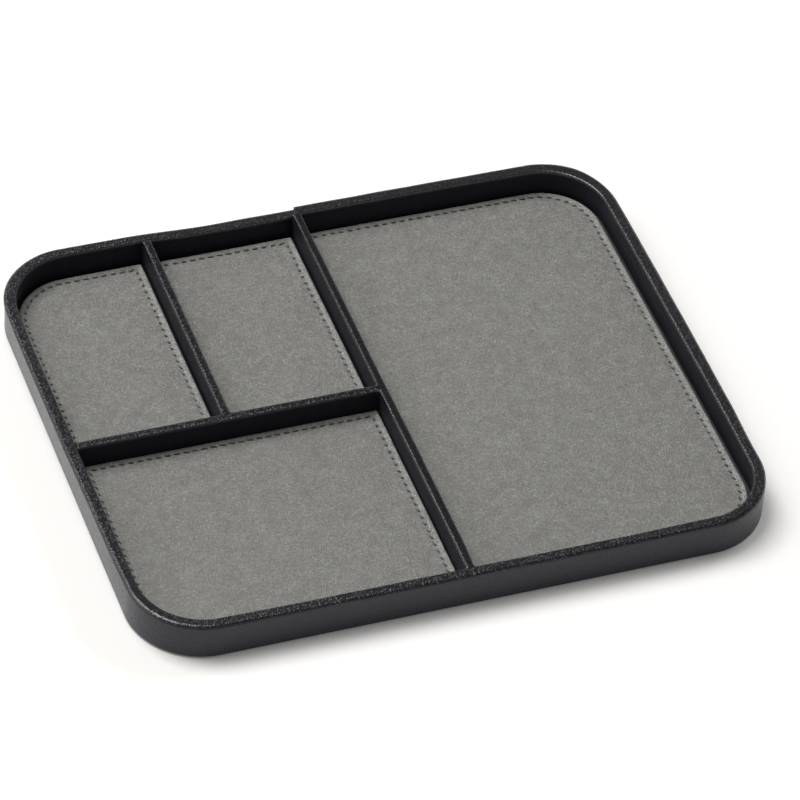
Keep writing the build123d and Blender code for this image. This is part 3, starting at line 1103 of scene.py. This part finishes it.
def board(name, dark, light, grain_mm, rough):
    """Fibre board: fine speckle with faint layers."""
    m = Surface(name)
    speckle = m.noise(grain_mm, 5.0, 0.7)
    layers = m.ramp(m.noise(grain_mm * 9, 2.0, 0.5), 0.3, 0.7, 0.8, 1.2)
    m.set(Base_Color=m.mix(m.times(speckle, layers), dark, light),
          Roughness=m.ramp(speckle, 0.3, 0.7, rough, rough + 0.12), Normal=m.bump(speckle, 0.04))
    return m.material


def microfibre():
    """Black microfibre under the base: short nap with a soft sheen."""
    m = Surface("lining")
    nap = m.noise(0.3, 4.0, 0.75)
    brushed = m.ramp(m.noise(18.0, 3.0, 0.6), 0.3, 0.7, 0.7, 1.3)
    nap_light = m.times(nap, brushed)
    m.set(Base_Color=m.mix(nap_light, (0.010, 0.010, 0.011), (0.034, 0.034, 0.037)),
          Normal=m.bump(nap, 0.03), Roughness=0.9, Specular_IOR_Level=0.2,
          Sheen_Weight=0.35, Sheen_Roughness=0.5)
    return m.material


def dress_boards():
    """Gives the lining and the boards their materials, by a word in the name of each node."""
    black = board("black_board", (0.018, 0.018, 0.019), (0.050, 0.048, 0.048), 0.5, 0.7)
    materials = {
        "base_board": black, "wall": black, "base_lining": microfibre(),
        "corner": board("bent_board", (0.30, 0.20, 0.12), (0.55, 0.41, 0.26), 0.6, 0.6),
        "divider_board": board("divider_board", (0.22, 0.14, 0.08), (0.50, 0.37, 0.24), 0.4, 0.6),
        "panel_board": board("backing_board", (0.04, 0.04, 0.038), (0.10, 0.097, 0.092), 0.4, 0.75),
    }
    for name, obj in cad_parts.items():
        for key, material in materials.items():
            if key in name:
                for place in obj.material_slots:
                    place.material = material


# Studio

def studio_floor():
    """A pale floor that turns to plain white a little way out from the tray; its dimmer glow near
    the tray is painted shade round it.
    """
    bpy.ops.mesh.primitive_circle_add(vertices=96, radius=FLOOR_RADIUS, fill_type="NGON")
    floor = bpy.context.object
    floor.name = "floor"
    floor.location.z = -FLOOR_DROP
    m = Surface("floor")
    apart = m.add("SeparateXYZ", {"Vector": m.place})
    beyond = []
    for axis, half, shift in (("X", CORNER_X, GLOW_SHIFT), ("Y", CORNER_Y, 0.0)):
        away = m.maths("ABSOLUTE", m.maths("ADD", apart.outputs[axis], shift))
        away = m.maths("SUBTRACT", away, half * MM)
        beyond.append(m.maths("POWER", m.maths("MAXIMUM", away, 0.0), 2.0))
    distance = m.maths("SQRT", m.maths("ADD", *beyond))
    radius = CORNER_RADIUS * MM
    # glow rises from FLOOR_GLOW near the tray to FLOOR_WHITE further out: the dimmer floor near the
    # tray is painted shade
    glow = m.ramp(distance, radius + GLOW_START, radius + GLOW_END, FLOOR_GLOW, FLOOR_WHITE, True)
    m.set(Base_Color=m.mix(m.noise(600.0), (0.90, 0.885, 0.86), (0.92, 0.905, 0.88)),
          Roughness=0.95, Specular_IOR_Level=0.0, Emission_Color=(1, 1, 1),
          Emission_Strength=m.times(m.seen(), glow))
    floor.data.materials.append(m.material)


def studio_world():
    """Plain light from all round. The camera sees white, and reflections see a white backdrop at
    the horizon and a dimmer ceiling above it."""
    world = bpy.data.worlds.new("studio")
    bpy.context.scene.world = world
    world.use_nodes = True
    world.node_tree.nodes.clear()
    w = Nodes(world.node_tree)
    direction = w.add("TexCoord").outputs["Generated"]
    upward = w.add("SeparateXYZ", {"Vector": direction}).outputs["Z"]
    ceiling = w.ramp(upward, BACKDROP_TOP, CEILING_START, 1.0, CEILING)
    camera = w.add("LightPath").outputs["Is Camera Ray"]
    light, white = (
        w.add("Background", {"Color": (1, 1, 1), "Strength": strength}).outputs[0]
        for strength in (WORLD_LIGHT, w.maths("MAXIMUM", camera, ceiling)))
    mix = w.add("MixShader", {"Fac": w.seen(), 1: light, 2: white})
    w.add("OutputWorld", {"Surface": mix.outputs[0]})


def softbox(name, direction, distance, width, height, level):
    """An area light aimed at the tray. level is what it adds to a white floor's brightness."""
    direction = Vector(direction).normalized()
    data = bpy.data.lights.new(name, "AREA")
    data.shape = "RECTANGLE"
    data.size, data.size_y = width, height
    data.energy = level * math.pi ** 2 * distance ** 2 / max(direction.z, 0.05)
    lamp = bpy.data.objects.new(name, data)
    lamp.location = direction * distance
    lamp.rotation_euler = (-direction).to_track_quat("-Z", "Y").to_euler()
    bpy.context.collection.objects.link(lamp)


make_camera()
dress_boards()
pebbled = pebbled_leather()
for side in (-1, 1):
    rim_cover(side, pebbled)
outer_band(band_leather())
make_dividers(pebbled)
make_panels(grey_leather(), waxed_thread())
studio_floor()
studio_world()
softbox("main", (-0.28, 0.30, 0.92), distance=2.5, width=1.35, height=1.60, level=0.80)
softbox("fill", (-0.74, 0.34, 0.55), distance=2.5, width=1.60, height=1.50, level=0.12)
bpy.context.scene.view_settings.view_transform = "Standard"
